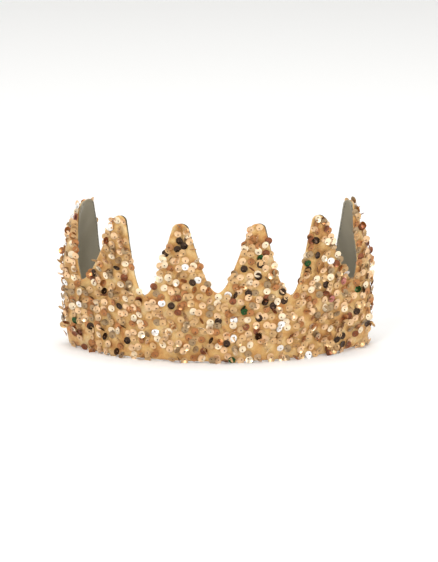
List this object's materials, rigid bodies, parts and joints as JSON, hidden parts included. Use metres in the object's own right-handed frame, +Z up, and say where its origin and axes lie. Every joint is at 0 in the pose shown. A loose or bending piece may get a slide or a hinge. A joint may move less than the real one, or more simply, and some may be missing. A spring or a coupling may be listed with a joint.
{
  "type": "sequin dress-up crown",
  "caption": "Child's dress-up crown of gold sequin cloth over a stiff board, with rounded points, a grey satin lining and an elastic back.",
  "frame": {"origin": "centre of the bounding box at the resting bottom edge", "axes": "+X to the right as seen from the front (the wearer's left), +Y to the elastic at the back, +Z up through the points"},
  "size_m": [0.2108, 0.0786, 0.1004],
  "materials": {
    "gold_sequins": "gloss",
    "gold_cloth": "matte",
    "grey_lining": "satin",
    "board": "matte",
    "elastic": "matte",
    "thread": "satin"
  },
  "bodies": {
    "front": {"front_board": "board", "sequin_cloth": "gold_cloth", "lining": "grey_lining", "back_elastic": "elastic", "front_band_sequins": "gold_sequins", "front_edge_stitches": "thread", "front_sewing_threads": "thread", "point_2_sequins": "gold_sequins", "point_3_sequins": "gold_sequins", "point_4_sequins": "gold_sequins", "point_5_sequins": "gold_sequins"},
    "left_side": {"left_board": "board", "left_band_sequins": "gold_sequins", "left_edge_stitches": "thread", "left_bar_tacks": "thread", "left_sewing_threads": "thread", "point_1_sequins": "gold_sequins"},
    "right_side": {"right_board": "board", "right_band_sequins": "gold_sequins", "right_edge_stitches": "thread", "right_bar_tacks": "thread", "right_sewing_threads": "thread", "point_6_sequins": "gold_sequins"}
  },
  "joints": [
    {"name": "right_side_opens", "type": "hinge", "parent": "front", "child": "right_side", "pos_m": [0.09236, -0.00433, 0], "axis": [0, 0, -1], "range_deg": [0, 35], "stiffness_Nm_per_rad": 0.03, "deforming": ["sequin_cloth", "lining", "back_elastic"]},
    {"name": "left_side_opens", "type": "hinge", "parent": "front", "child": "left_side", "pos_m": [-0.09236, -0.00433, 0], "axis": [0, 0, 1], "range_deg": [0, 35], "stiffness_Nm_per_rad": 0.03}
  ],
  "couplings": [
    {"joint": "left_side_opens", "follows": "right_side_opens", "ratio": 1}
  ]
}
